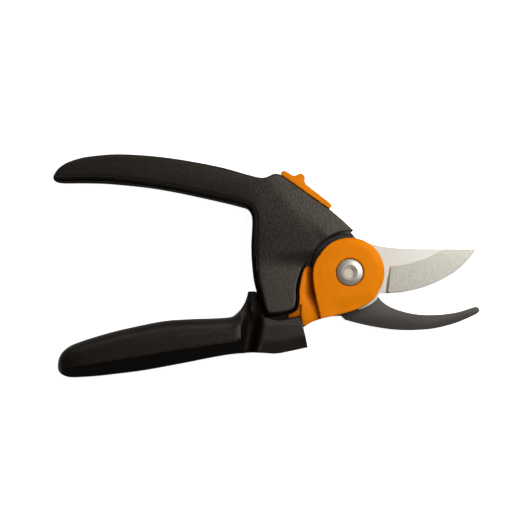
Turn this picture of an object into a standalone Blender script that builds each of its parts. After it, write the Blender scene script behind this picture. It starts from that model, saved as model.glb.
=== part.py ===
"""Bypass pruning shears lying flat, fully open: blade toward +X, upper handle toward +Y, front face up."""

import math

import bmesh
import bpy
import numpy as np

for old in list(bpy.data.objects):
    bpy.data.objects.remove(old, do_unlink=True)

MM = 0.001
HUB = np.array((40.1, -3.0))
GEAR_DISTANCE = 36.0
GEAR_ANGLE = 20.5
PIN = HUB - GEAR_DISTANCE * np.array(
    (math.cos(math.radians(GEAR_ANGLE)), math.sin(math.radians(GEAR_ANGLE)))
)
SLIDE = np.array((0.816, -0.578))
LOCK_TRAVEL = 6.0

# Layers along Z, in millimetres: the two blades lie either side of the middle plane.
MIDDLE = 11.0
HOOK_Z = (7.85, 10.85)
BLADE_Z = (11.15, 14.15)
FORK_Z = (5.2, 16.8)

CUTTERS = bpy.data.collections.new("cutters")
bpy.context.scene.collection.children.link(CUTTERS)


def turned(angle, radius, centre):
    """The point at a radius and an angle in degrees about a centre."""
    turn = math.radians(angle)
    return np.array((centre[0] + radius * math.cos(turn), centre[1] + radius * math.sin(turn)))


def arc(centre, radius, start, end, count):
    """Points on an arc, from one angle to another in degrees."""
    return [turned(a, radius, centre) for a in np.linspace(start, end, count)]


def smooth(keys, count=3):
    """Points of a curve through the keys, count of them in each span."""
    keys = [np.array(key, float) for key in keys]
    keys = [2 * keys[0] - keys[1], *keys, 2 * keys[-1] - keys[-2]]
    points = []
    for a, b, c, d in zip(keys, keys[1:], keys[2:], keys[3:]):
        for step in range(count):
            t = step / count
            bend = (2 * a - 5 * b + 4 * c - d) * t * t + (3 * b - a - 3 * c + d) * t**3
            points.append(b + 0.5 * ((c - a) * t + bend))
    return [*points, keys[-2]]


def inset(outline, distances):
    """The outline moved inward at each of its corners; negative distances move it out."""
    flat = np.array([point[:2] for point in outline], float)
    before = flat - np.roll(flat, 1, axis=0)
    after = np.roll(flat, -1, axis=0) - flat
    before /= np.linalg.norm(before, axis=1)[:, None]
    after /= np.linalg.norm(after, axis=1)[:, None]
    normal = np.stack((-(before + after)[:, 1], (before + after)[:, 0]), axis=1)
    normal /= np.linalg.norm(normal, axis=1)[:, None]
    across = np.stack((-before[:, 1], before[:, 0]), axis=1)
    miter = np.maximum((normal * across).sum(axis=1), 0.45)
    return flat + normal * (np.broadcast_to(distances, len(flat)) / miter)[:, None]


def finish(obj, colour, metallic, roughness):
    """Gives the object its own plain material."""
    material = bpy.data.materials.new(obj.name)
    material.use_nodes = True
    shader = material.node_tree.nodes["Principled BSDF"]
    shader.inputs["Base Color"].default_value = (*colour, 1)
    shader.inputs["Metallic"].default_value = metallic
    shader.inputs["Roughness"].default_value = roughness
    obj.data.materials.append(material)


PLASTIC = ((0.035, 0.033, 0.031), 0.0, 0.55)
RUBBER = ((0.02, 0.02, 0.02), 0.0, 0.75)
ORANGE = ((0.76, 0.22, 0.01), 0.0, 0.4)
STEEL = ((0.75, 0.73, 0.7), 1.0, 0.3)
DARK_STEEL = ((0.06, 0.06, 0.06), 0.6, 0.5)
ZINC = ((0.6, 0.6, 0.57), 1.0, 0.35)


def solid(name, points, faces, look):
    """An object from points in millimetres and faces, with its normals facing out."""
    mesh = bpy.data.meshes.new(name)
    mesh.from_pydata([tuple(MM * c for c in point) for point in points], [], faces)
    work = bmesh.new()
    work.from_mesh(mesh)
    bmesh.ops.recalc_face_normals(work, faces=work.faces)
    work.to_mesh(mesh)
    work.free()
    obj = bpy.data.objects.new(name, mesh)
    if look is None:
        CUTTERS.objects.link(obj)
        obj.hide_render = True
        obj.display_type = "WIRE"
    else:
        bpy.context.scene.collection.objects.link(obj)
        finish(obj, *look)
    return obj


def stack(name, rings, look):
    """A solid skinned over rings of equally many points, closed at both ends."""
    size = len(rings[0])
    points = [point for ring in rings for point in ring]
    faces = [tuple(range(size))[::-1]]
    for low in range(0, size * (len(rings) - 1), size):
        for i in range(size):
            j = (i + 1) % size
            faces.append((low + i, low + j, low + size + j, low + size + i))
    faces.append(tuple(range(size * (len(rings) - 1), size * len(rings))))
    return solid(name, points, faces, look)


def raised(outline, z):
    """The outline's points at one height."""
    return [(point[0], point[1], z) for point in outline]


def prism(name, outline, low, high, look=None, chamfer=0.0):
    """A plate with an optional chamfer along both faces."""
    if not chamfer:
        return stack(name, [raised(outline, low), raised(outline, high)], look)
    small = inset(outline, chamfer)
    rings = [raised(small, low), raised(outline, low + chamfer)]
    rings += [raised(outline, high - chamfer), raised(small, high)]
    return stack(name, rings, look)


def disc(name, centre, radius, low, high, look=None, chamfer=0.0, count=40):
    """A round plate or pin along Z."""
    angles = np.linspace(0, 360, count, endpoint=False)
    return prism(name, [turned(a, radius, centre) for a in angles], low, high, look, chamfer)


def combine(target, other, operation):
    """Adds the other solid to the target, or takes it away."""
    change = target.modifiers.new(operation.lower(), "BOOLEAN")
    change.operation = operation
    change.object = other
    change.solver = "EXACT"


def cut(target, *cutters):
    for cutter in cutters:
        combine(target, cutter, "DIFFERENCE")


def add(target, *others):
    for other in others:
        combine(target, other, "UNION")


def tooth(centre, teeth, middle, module=2.0, pressure=25.0, play=0.28):
    """The outline of one involute tooth, counterclockwise, from root to root."""
    pitch = 0.5 * module * teeth
    base = pitch * math.cos(math.radians(pressure))
    involute = math.tan(math.radians(pressure)) - math.radians(pressure)
    flank = []
    for radius in np.linspace(base, pitch + 0.9 * module, 5):
        lean = math.acos(base / radius)
        half = math.pi / (2 * teeth) - play / (2 * pitch) + involute - (math.tan(lean) - lean)
        flank.append((radius, math.degrees(half)))
    flank.insert(0, (pitch - 1.25 * module, flank[0][1] + 0.8))
    points = [turned(middle - half, radius, centre) for radius, half in flank]
    return points + [turned(middle + half, radius, centre) for radius, half in flank[::-1]]


# Hook blade: the fixed jaw, round the hub and the pin, with a lug for the lock and a tang into the grip.
hook = smooth([(53.6, -14.4), (56.4, -17.5), (60.5, -20.0), (66.3, -22.0), (73, -23.3)])
hook += smooth([(79.5, -23.6), (86.4, -23.2), (93, -22.1), (98.5, -20.4), (101.2, -19.7)])
hook += smooth([(102.5, -20.7), (101.9, -22.6), (97, -25.1), (90, -27.8), (81, -30), (72, -30.8)])
hook += smooth([(63, -30.7), (54.7, -29.7), (46, -28), (38, -25.9)])
hook += [(30, -24.2), (24, -25.6), (18, -29.5), (12, -33.5)]
hook += smooth([(-12, -37.2), (-40, -40.6), (-72, -44.6)])
hook += [(-75, -43.2), (-74.5, -40.2)]
hook += smooth([(-72, -38.9), (-40, -34.6), (-12, -31), (-2.5, -26.5)])
hook += arc(PIN, 9.5, 205, 135, 7)
hook += arc(PIN, 14, 133, 125, 3) + [turned(121, 12.4, PIN), turned(117.5, 11, PIN)]
hook += arc(PIN, 9.5, 113.5, 60, 5)
hook += [(15, -4.5)]
hook += arc(HUB, 22.2, 183, 95, 12) + [(40.7, 17.2), (41.3, 15.3)]
hook += arc(HUB, 16.2, 84, -32, 15)
hook_blade = prism("hook_blade", hook[::-1], *HOOK_Z, DARK_STEEL, 0.4)
cut(
    hook_blade,
    disc("hook_hub_hole", HUB, 5.35, 5, 12),
    disc("hook_pin_hole", PIN, 3.15, 5, 12),
    disc("hook_screw_hole", (24.6, -23.1), 1.4, 5, 12, count=20),
    disc("tang_hole_1", (-22, -35.4), 1.65, 5, 12, count=20),
    disc("tang_hole_2", (-60, -40.2), 1.65, 5, 12, count=20),
)

# Cutting blade: the tang disc with its teeth, and a blade whose front side is ground to an edge.
edge = smooth([(57.9, -13.1), (64.5, -12.7), (71, -11.5), (77.5, -9.6), (83.5, -7)], 2)
edge += smooth([(89, -4), (93.5, -0.7), (97.5, 3.4), (101, 8)], 2)
blade = edge + [(90, 8.1), (73, 8.2), (64, 8.5), (56, 9.4), (49.5, 10.7), (43.4, 13.2), (41.4, 15.4)]
blade += arc(HUB, 18.6, 92, 181, 14)
for middle in (191.5, 209.5, 227.5, 245.5):
    blade += tooth(HUB, 20, middle)
blade += arc(HUB, 17.5, 255, 318, 11) + [(54.3, -13.1)]
cutting_blade = prism("cutting_blade", blade, *BLADE_Z, STEEL)
top = BLADE_Z[1]
outer = smooth([(57.7, -15), (65, -14.7), (72, -13.4), (78.5, -11.4), (84.7, -8.7)], 2)
outer += smooth([(90.4, -5.6), (95.2, -2), (99.4, 2.3), (104, 9)], 2)
inner = smooth([(59.5, -0.2), (63.5, 0.2), (67.5, 0.9), (71.5, 2), (75.5, 3.4)], 2)
inner += smooth([(78.5, 4.7), (81.5, 6.1), (84, 7.5), (86, 8.8)], 2)
rings = [
    [(*a, top - 3.1), (*b, top + 0.02), (*b, top + 3), (*a, top + 3)] for a, b in zip(outer, inner)
]
cut(cutting_blade, stack("grind", rings, None), disc("blade_hub_hole", HUB, 5.35, 9, 16))

# Gear on the handle's pin, held between the two halves of the handle.
gear = arc(PIN, 8.5, 140, 320, 14) + [turned(-35, 13.5, PIN)]
for middle in (-24.5, -2, 20.5):
    gear += tooth(PIN, 16, middle)
gear += [turned(36, 13.5, PIN), turned(46, 13.5, PIN), (14.6, 0), (17, 8), (22.5, 12.5), (22.5, 18)]
gear += [(13, 21.5), (5, 26.5), (-2.6, 26.5), (-4, 21), (-4, 9), (0, 3), (1.2, -3)]
handle_gear = prism("handle_gear", gear, *BLADE_Z, STEEL)
cut(handle_gear, disc("gear_pin_hole", PIN, 3.15, 9, 16))
disc("hub_spacer", PIN, 5.6, 14.35, 16.5, STEEL, 0.3)
cut(bpy.data.objects["hub_spacer"], disc("spacer_hole", PIN, 3.15, 9, 18))

# Upper handle: each point of the outline carries the width of the step along the handle's inner edge.
run = [(41.8, 17.1, 0), (36.4, 22.1, 0), (30.3, 27.3, 0), (18.5, 35.5, 0), (7, 43.7, 0)]
run += smooth([(4, 44.2, 0), (-1.6, 42.2, 0), (-9, 43.8, 0), (-20, 46.9, 0), (-32, 49.4, 0)])
run += smooth([(-39, 50.7, 0), (-46, 51.7, 0), (-60, 53.1, 0), (-73, 53.5, 0), (-85, 52.4, 0)])
run += smooth([(-90, 51.4, 0), (-96, 49.1, 0), (-100.6, 45.6, 0.8), (-102.2, 42.7, 2.2)])
run += smooth([(-101.2, 40.6, 2.8), (-97.5, 39.7, 3.2), (-88, 39.7, 3.6), (-78, 39.5, 3.7)])
run += smooth([(-68, 38.7, 3.5), (-56, 37.4, 3.3), (-44, 35.4, 3.2), (-32, 32.9, 3.1), (-20, 30.2, 3.2)])
run += smooth([(-12.5, 28.3, 3.2), (-8.6, 26.9, 3), (-6.8, 23.6, 2.4), (-6.7, 18, 2.3), (-7.1, 10, 2.6)])
run += smooth([(-6.8, 2, 2.5), (-5.9, -6.5, 2.2), (-4.5, -12.5, 2.3), (-3.3, -17.3, 2.2)], 2)
run += smooth([(-1.8, -21.5, 1.9), (-0.3, -23.4, 1.6), (1.6, -24.2, 1.3), (5, -24, 1.2)], 2)
run += smooth([(9.4, -23.2, 1.1), (13, -22.3, 1.2), (14.9, -21, 1.3), (15.8, -18.8, 1.4)], 2)
run += smooth([(16.2, -15, 1.4), (16.2, -11, 1.4), (17.5, -4, 1.1), (19.8, 2.6, 0.3)], 2)
run += [(*point, 0) for point in arc(HUB, 19.6, 152, 92, 7)] + [(41, 16.2, 0)]
step = np.array([point[2] for point in run])
from_pin = np.array([math.dist(point[:2], PIN) for point in run])
lift = np.clip((25 - from_pin) / 2.5, 0, 1)
section = [(0, 0, 11.12, 0), (0, 0, 12.5, 4.5), (0, 0.1, 12.9, 4.3), (0, 0.31, 13.1, 4.3)]
section += [(0.2, 0.92, 18.2, 0.6), (0.7, 1, 19.8, 0), (1.7, 1, 20.5, 0)]
halves = []
for name, side in (("handle_front_shell", 1), ("handle_rear_shell", -1)):
    rings = []
    for plain, share, z, more in section:
        ring = inset(run, plain + share * step)
        rings.append([(*point, MIDDLE + side * (z + more * up - MIDDLE)) for point, up in zip(ring, lift)])
    halves.append(stack(name, rings[::side], PLASTIC))
front, rear = halves
SCREWS = ((0.5, 22), (19.3, 15.8), (-40, 44.5), (-84, 47.9))
rail = [(7.8, 41.7), (28.2, 27.3), (30.2, 30.1), (9.8, 44.5)]
groove = [(7.3, 41.7), (33.7, 23.1), (39, 30.6), (12.6, 49.2)]
cut(
    front,
    disc("fork_front", PIN, 19.6, 9, FORK_Z[1], count=64),
    disc("hub_front", HUB, 22.8, 9, FORK_Z[1], count=64),
    prism("gear_pocket", inset(gear, -0.25), 9, 14.3),
    prism("groove_front", groove, 9, 15.8),
    disc("pin_front", PIN, 3.15, 9, 18.2, count=32),
)
bar_low = np.array([(0.1, -1.63), (-0.44, 2.43), (3, 8), (7.6, 16), (18.2, 39)])
bar_high = np.array([(14.6, 40.6), (3, 17), (-2.6, 7), (-4.15, 1.44), (-2.58, -2.35)])
bar = [*bar_low, *bar_high]
channel = [*(bar_low + SLIDE * (LOCK_TRAVEL + 0.4)), (24.5, 39), (12, 46), *(bar_high - 0.4 * SLIDE)]
cut(
    rear,
    disc("fork_rear", PIN, 19.6, FORK_Z[0], 13, count=64),
    disc("hub_rear", HUB, 22.8, FORK_Z[0], 13, count=64),
    prism("lock_channel", inset(channel, -0.3), 7.6, 13),
    prism("groove_rear", groove, 6.2, 13),
    disc("pin_rear", PIN, 3.15, 3.8, 13, count=32),
)
for number, (x, y) in enumerate(SCREWS, 1):
    cut(front, disc(f"thread_{number}", (x, y), 1.55, 9, 17.5, count=20))
    cut(rear, disc(f"head_seat_{number}", (x, y), 2.9, 0, 4.3, count=24))
    cut(rear, disc(f"screw_way_{number}", (x, y), 1.7, 2, 13, count=20))
    screw = disc(f"shell_screw_{number}", (x, y), 2.6, 2.3, 4.1, ZINC, 0.3, 24)
    shank = disc(f"screw_shank_{number}", (x, y), 1.4, 3, 17.3, count=20)
    add(screw, shank)
    cut(screw, prism(f"screw_slot_{number}", [(x - 2, y - 0.35), (x + 2, y - 0.35),
                                              (x + 2, y + 0.35), (x - 2, y + 0.35)], 1, 3.1))
    if number < 3:
        cut(handle_gear, disc(f"gear_hole_{number}", (x, y), 1.7, 9, 16, count=20))
disc("handle_pin", PIN, 3, 4, 18, STEEL, 0.3, 32)

# Lock: the slider on the body's edge and the bar inside, which stands behind the lug when shut.
slider = [(30.5, 27.5), (31.4, 28.6), (31.2, 29.4), (30.2, 30.6)]
slider += [(27.6, 32.6), (23.3, 35.9), (19.1, 39.2), (18.4, 40.8), (18.6, 42.5), (17.8, 43.7)]
slider += [(16.4, 44.4), (14.7, 43.5), (12.9, 43.4), (9.6, 45.3), (8.4, 45.6), (7.3, 44.9)]
slider += [(7.15, 43.9)]
lock_slider = prism("lock_slider", slider, 5, 17, ORANGE, 0.25)
add(lock_slider, prism("slider_rail", rail, 6.5, 15.5))
cut(lock_slider, prism("bar_socket", inset(bar, -0.12), 7.7, 11))
prism("lock_bar", bar, *HOOK_Z, STEEL, 0.2)

# Rigid core of the lower handle: block, hilt and a tail inside the grip.
core = [(20, -39), (19, -34), (17.4, -27.6), (16.6, -24.2), (10.6, -25.3), (10.1, -24.4), (5.5, -25.2)]
core += [(-0.6, -24.6), (-3, -21), (-4, -16), (-5.1, -12.2), (-8.6, -12.3), (-9.2, -15), (-10.4, -18)]
core += [(-12.1, -20.8), (-12.1, -42), (-6, -41.5), (0.7, -41.8), (3.8, -42), (7.2, -41.7)]
rings = []
for depth, z in ((1.6, 2), (0.5, 2.6), (0, 4), (0, 18), (0.5, 19.4), (1.6, 20)):
    rings.append(raised(inset(core, depth), z))
lower_handle_core = stack("lower_handle_core", rings, PLASTIC)
tail = smooth([(-11, -29.5), (-40, -31), (-70, -35.5), (-86, -41)], 3)
tail += smooth([(-88, -44), (-86, -46.6), (-70, -45.6), (-40, -42), (-11, -38.4)], 3)
web = arc(PIN, 11.9, 164, 293, 12) + arc(PIN, 7, 293, 164, 10)
add(lower_handle_core, prism("tail", tail, 5.5, 16.5), prism("hilt_web", web, 14.45, 16.5))
recess = [(-15, -4), (-14.2, -11), (-9.8, -15.9), (-6.3, -19.2), (-4.7, -21.1), (-2.9, -22.7)]
recess += arc(PIN, 10.6, 232, 335, 14) + [(24, -19), (24, -4)]
pocket = arc(PIN, 9.8, 60, 200, 10)
pocket += [(-12, -30.8), (-40, -34.4), (-72, -38.7), (-75.5, -40), (-75.5, -43.5), (-72, -44.8)]
pocket += [(-40, -40.8), (-12, -37.4), (12, -33.7), (24, -25.4), (30, -10)]
cut(
    lower_handle_core,
    prism("fork_recess_front", recess, 16.5, 24),
    prism("fork_recess_rear", recess, -2, 5.5),
    prism("tang_pocket", inset(pocket, -0.25), 7.6, 11.1),
    disc("gear_room", PIN, 10, 7, 14.45),
)
for number, (x, y) in enumerate(((-22, -35.4), (-60, -40.2)), 1):
    cut(lower_handle_core, disc(f"tang_bore_{number}", (x, y), 1.65, 4, 18, count=20))
    disc(f"tang_pin_{number}", (x, y), 1.5, 5.7, 16.3, STEEL, 0.2, 20)

# Soft grip: oval sections along X, from the rounded end to the collar.
grip_x = [-100, -99.3, -97.5, -94, -88.5, -81, -72, -60, -48, -36, -26, -19, -16, -14, -12.15]
grip_top = [-46.6, -43.8, -41, -38.2, -36.1, -33.7, -31.2, -28.5, -26.3, -25.5, -25.2, -24.8]
grip_top += [-24.2, -22.7, -20.9]
grip_bottom = [-49.6, -51, -52.5, -53.5, -53.4, -52.9, -51.9, -50.4, -48.3, -46, -44, -42.8]
grip_bottom += [-42.4, -42.2, -42]
grip_half = [1.6, 4.4, 6.9, 9, 10.2, 10.8, 11, 11, 11, 11, 11, 11, 10.9, 10.8, 10.6]
rings = []
for x, upper, lower, half in zip(grip_x, grip_top, grip_bottom, grip_half):
    ring = []
    for angle in np.linspace(0, 2 * math.pi, 36, endpoint=False):
        across, over = math.cos(angle), math.sin(angle)
        across = math.copysign(abs(across) ** 0.8, across)
        over = math.copysign(abs(over) ** 0.8, over)
        y = 0.5 * (upper + lower) + 0.5 * (upper - lower) * across
        ring.append((x, y, MIDDLE + half * over))
    rings.append(ring)
lower_grip = stack("lower_grip", rings, RUBBER)
cut(lower_grip, prism("tail_room", inset(tail, -0.2), 5.3, 16.7))

# Hub covers: a boss with a bevelled rim over the pivot and a flange over the gear mesh.
boss = arc(HUB, 16.6, 150, -22, 30)
boss += smooth([(52.5, -15), (48.6, -18.1), (42.9, -21.2), (35.5, -23.4), (30, -24.5)], 2)
boss += [(26, -25.3), (25.1, -21.5), (23.9, -15.7), (22.7, -9.3), (22, -3.5), (22.9, 1)]
flange = [(24, -1), (20.4, -0.3), (17.4, -5.2), (15.3, -10), (13.8, -15.5), (13, -19.5)]
flange += [(10.8, -23.7), (11, -24.9), (16.9, -23.8), (17.9, -28.2), (18.6, -28.6), (21, -27.3)]
flange += [(23, -26.3), (27, -25.2), (27, -12)]
covers = []
for name, side in (("front_hub_cover", 1), ("rear_hub_cover", -1)):
    rings = []
    for depth, z in ((0, 14.45), (0, 17.9), (0.5, 18.5), (2.6, 19.5)):
        rings.append(raised(inset(boss[::-1], depth), MIDDLE + side * (z - MIDDLE)))
    cover = stack(name, rings[::side], ORANGE)
    lip = sorted((MIDDLE + side * 3.45, MIDDLE + side * 5.5))
    add(cover, prism(f"{name}_flange", flange, *lip))
    cut(cover, disc(f"{name}_bore", HUB, 4.35, 0, 22))
    covers.append(cover)
front_cover, rear_cover = covers
cut(
    front_cover,
    disc("bolt_seat", HUB, 6.75, 17.1, 22, count=48),
    disc("washer_room", HUB, 9.6, 13, 15.1),
    disc("cover_thread", (24.6, -23.1), 1.3, 13, 16, count=20),
)
cut(
    rear_cover,
    disc("nut_seat", HUB, 7.4, 0, 5.0, count=48),
    disc("cover_screw_way", (24.6, -23.1), 1.4, 0, 9, count=20),
    disc("cover_screw_seat", (24.6, -23.1), 2.2, 0, 5.6, count=20),
)

# Hub bolt with a hex socket, its washer and nut, and the bushing and washer that the blade turns on.
dome = [(6.25, 17.2), (6.25, 18.4), (5.9, 19.2), (4.9, 20.1), (3.7, 20.5), (3, 20.5)]
rings = [raised(arc(HUB, radius, 0, 352.5, 48), z) for radius, z in dome]
pivot_bolt = stack("pivot_bolt", rings, ZINC)
add(pivot_bolt, disc("bolt_shank", HUB, 4, 1.2, 17.6))
cut(pivot_bolt, prism("hex_socket", arc(HUB, 2.4 / math.cos(math.pi / 6), 0, 300, 6), 18, 22))
pivot_nut = prism("pivot_nut", arc(HUB, 5.77, 0, 300, 6), 1, 4.1, ZINC, 0.3)
cut(pivot_nut, disc("nut_bore", HUB, 4.15, 0, 6))
bolt_washer = disc("bolt_washer", HUB, 6.6, 4.25, 4.85, ZINC)
cut(bolt_washer, disc("bolt_washer_bore", HUB, 4.15, 0, 6))
pivot_bushing = disc("pivot_bushing", HUB, 5.2, 7.75, 14.2, STEEL)
cut(pivot_bushing, disc("bushing_bore", HUB, 4.15, 5, 16))
thrust_washer = disc("thrust_washer", HUB, 9.3, 14.35, 14.95, STEEL)
cut(thrust_washer, disc("thrust_washer_bore", HUB, 4.15, 13, 16))
cover_screw = disc("cover_screw", (24.6, -23.1), 2, 4, 5.4, ZINC, 0.3, 20)
add(cover_screw, disc("cover_screw_shank", (24.6, -23.1), 1.15, 5, 15.8, count=20))

# Return spring round the pin, between the rear fork and the hook blade.
coil = bpy.data.curves.new("return_spring", "CURVE")
coil.dimensions = "3D"
coil.bevel_depth = 0.45 * MM
coil.bevel_resolution = 1
coil.use_fill_caps = True
wire = coil.splines.new("POLY")
turns = [(angle, 4.6) for angle in range(100, 600, 20)]
turns = [(100, 8.6)] + turns + [(turns[-1][0], 8.6)]
wire.points.add(len(turns) - 1)
for point, (angle, radius) in zip(wire.points, turns):
    x, y = turned(angle, radius, PIN)
    z = 5.85 + 1.3 * (angle - 100) / 480
    point.co = (MM * x, MM * y, MM * z, 1)
spring = bpy.data.objects.new("return_spring", coil)
bpy.context.scene.collection.objects.link(spring)
finish(spring, *STEEL)
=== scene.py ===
import math

import bmesh
import bpy
import numpy as np
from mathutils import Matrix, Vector
from mathutils.geometry import delaunay_2d_cdt


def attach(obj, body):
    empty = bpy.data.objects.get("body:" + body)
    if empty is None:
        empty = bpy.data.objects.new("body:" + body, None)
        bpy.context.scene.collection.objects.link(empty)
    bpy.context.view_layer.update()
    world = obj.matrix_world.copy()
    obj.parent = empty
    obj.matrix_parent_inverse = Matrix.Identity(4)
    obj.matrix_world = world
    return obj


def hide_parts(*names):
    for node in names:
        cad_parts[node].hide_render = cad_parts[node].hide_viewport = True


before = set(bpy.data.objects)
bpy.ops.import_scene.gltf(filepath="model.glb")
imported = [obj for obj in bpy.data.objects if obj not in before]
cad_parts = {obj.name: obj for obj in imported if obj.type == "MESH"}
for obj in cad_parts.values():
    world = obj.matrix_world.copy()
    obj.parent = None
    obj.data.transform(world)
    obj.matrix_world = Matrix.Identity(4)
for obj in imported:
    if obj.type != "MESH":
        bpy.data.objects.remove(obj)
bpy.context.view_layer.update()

# Plans and heights are in millimetres: X and Y lie in the tool's flat plane, Z is its depth. Blender gets
# metres, through mesh_object, and sizes inside a material are metres too.
MM = 0.001
MIDDLE = 11.0
HUB = np.array((40.1, -3.0))
PIVOT_SPACING = 36
PIVOT_SLOPE = math.radians(20.5)
PIN = HUB - PIVOT_SPACING * np.array((math.cos(PIVOT_SLOPE), math.sin(PIVOT_SLOPE)))
COVER_SCREW = (24.6, -23.1)
TANG_PINS = ((-22, -35.4), (-60, -40.2))
SHELL_SCREWS = ((0.5, 22), (19.3, 15.8), (-40, 44.5), (-84, 47.9))

# Radii of holes and rooms that more than one piece has.
HUB_EYE = 5.35
PIN_EYE = 3.15
SCREW_WAY = 1.4
TANG_EYE = 1.65
FORK_AT_PIN = 19.6
FORK_AT_HUB = 22.8

# The layers between the two handle shells, from the rear to the front.
HOOK_LOW, HOOK_HIGH = 7.85, 10.85
BLADE_LOW, BLADE_HIGH = 11.15, 14.15
COVER_BASE = 14.45


# ---------------------------------------------------------------- outlines
def turned(angle, radius, centre):
    turn = math.radians(angle)
    return np.array((centre[0] + radius * math.cos(turn), centre[1] + radius * math.sin(turn)))


def arc(centre, radius, start, end, count):
    return [turned(a, radius, centre) for a in np.linspace(start, end, count)]


def smooth(keys, count=8):
    """A curve through the keys, with count points from each key to the next."""
    keys = [np.array(key, float) for key in keys]
    keys = [2 * keys[0] - keys[1], *keys, 2 * keys[-1] - keys[-2]]
    points = []
    for a, b, c, d in zip(keys, keys[1:], keys[2:], keys[3:]):
        for step in range(count):
            t = step / count
            bend = (2 * a - 5 * b + 4 * c - d) * t * t + (3 * b - a - 3 * c + d) * t**3
            points.append(b + 0.5 * ((c - a) * t + bend))
    return [*points, keys[-2]]


def resample(points, spacing):
    """A closed outline with points evenly spaced along it, its extra columns kept."""
    points = np.array(points, float)
    closed = np.vstack([points, points[:1]])
    lengths = np.linalg.norm(np.diff(closed[:, :2], axis=0), axis=1)
    along = np.concatenate([[0], np.cumsum(lengths)])
    count = int(round(along[-1] / spacing))
    where = np.linspace(0, along[-1], count, endpoint=False)
    return np.stack([np.interp(where, along, closed[:, c]) for c in range(points.shape[1])], axis=1)


def blurred(values, times):
    for _ in range(times):
        values = 0.25 * np.roll(values, 1, 0) + 0.5 * values + 0.25 * np.roll(values, -1, 0)
    return values


def inset(outline, distances):
    """The outline moved inwards, by one distance or by one for each point."""
    flat = np.array(outline, float)[:, :2]
    before = flat - np.roll(flat, 1, axis=0)
    after = np.roll(flat, -1, axis=0) - flat
    before /= np.linalg.norm(before, axis=1)[:, None]
    after /= np.linalg.norm(after, axis=1)[:, None]
    normal = np.stack((-(before + after)[:, 1], (before + after)[:, 0]), axis=1)
    normal /= np.linalg.norm(normal, axis=1)[:, None]
    across = np.stack((-before[:, 1], before[:, 0]), axis=1)
    miter = np.maximum((normal * across).sum(axis=1), 0.45)
    return flat + normal * (np.broadcast_to(distances, len(flat)) / miter)[:, None]


def nearest(outline, points):
    """The distance from each point to the outline, and the place along it, as an index."""
    a = outline[:, :2]
    b = np.roll(a, -1, axis=0)
    span = b - a
    best = np.full(len(points), 1e9)
    place = np.zeros(len(points))
    for start in range(0, len(points), 2000):
        p = points[start:start + 2000, None, :]
        t = ((p - a) * span).sum(-1) / np.maximum((span * span).sum(-1), 1e-12)
        t = np.clip(t, 0, 1)
        d = np.linalg.norm(p - (a + span * t[..., None]), axis=-1)
        i = d.argmin(1)
        rows = np.arange(len(i))
        best[start:start + 2000] = d[rows, i]
        place[start:start + 2000] = i + t[rows, i]
    return best, place


def inside(outline, points):
    """Whether each point lies inside the outline, by counting the sides to its right."""
    a = outline[:, :2]
    b = np.roll(a, -1, axis=0)
    x, y = points[:, 0, None], points[:, 1, None]
    crosses = (a[:, 1] > y) != (b[:, 1] > y)
    with np.errstate(divide="ignore", invalid="ignore"):
        at = (b[:, 0] - a[:, 0]) * (y - a[:, 1]) / (b[:, 1] - a[:, 1]) + a[:, 0]
    return (crosses & (x < at)).sum(1) % 2 == 1


def ramp(value, low, high):
    """0 at low, 1 at high, and a soft rise between them."""
    t = np.clip((value - low) / (high - low), 0, 1)
    return t * t * (3 - 2 * t)


def rounded(t, radius):
    """How far a rounded edge of that radius lies below the face, t in from the edge."""
    s = 1 - np.clip(t / radius, 0, 1)
    return radius * (1 - np.sqrt(np.maximum(1 - s * s, 0)))


# ---------------------------------------------------------------- solids
def mesh_object(name, points, faces):
    mesh = bpy.data.meshes.new(name)
    mesh.from_pydata([tuple(MM * float(c) for c in p) for p in points], [], faces)
    work = bmesh.new()
    work.from_mesh(mesh)
    bmesh.ops.recalc_face_normals(work, faces=work.faces)
    work.to_mesh(mesh)
    work.free()
    obj = bpy.data.objects.new(name, mesh)
    bpy.context.scene.collection.objects.link(obj)
    return obj


def stack(name, rings):
    """A closed solid through rings that all have the same number of points."""
    size = len(rings[0])
    faces = [tuple(range(size))[::-1]]
    for low in range(0, size * (len(rings) - 1), size):
        for i in range(size):
            j = (i + 1) % size
            faces.append((low + i, low + j, low + size + j, low + size + i))
    faces.append(tuple(range(size * (len(rings) - 1), size * len(rings))))
    return mesh_object(name, [p for ring in rings for p in ring], faces)


def raised(outline, z):
    return [(point[0], point[1], z) for point in outline]


def prism(name, outline, low, high):
    return stack(name, [raised(outline, low), raised(outline, high)])


def disc(name, centre, radius, low, high, count=96):
    angles = np.linspace(0, 360, count, endpoint=False)
    return prism(name, [turned(a, radius, centre) for a in angles], low, high)


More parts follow.
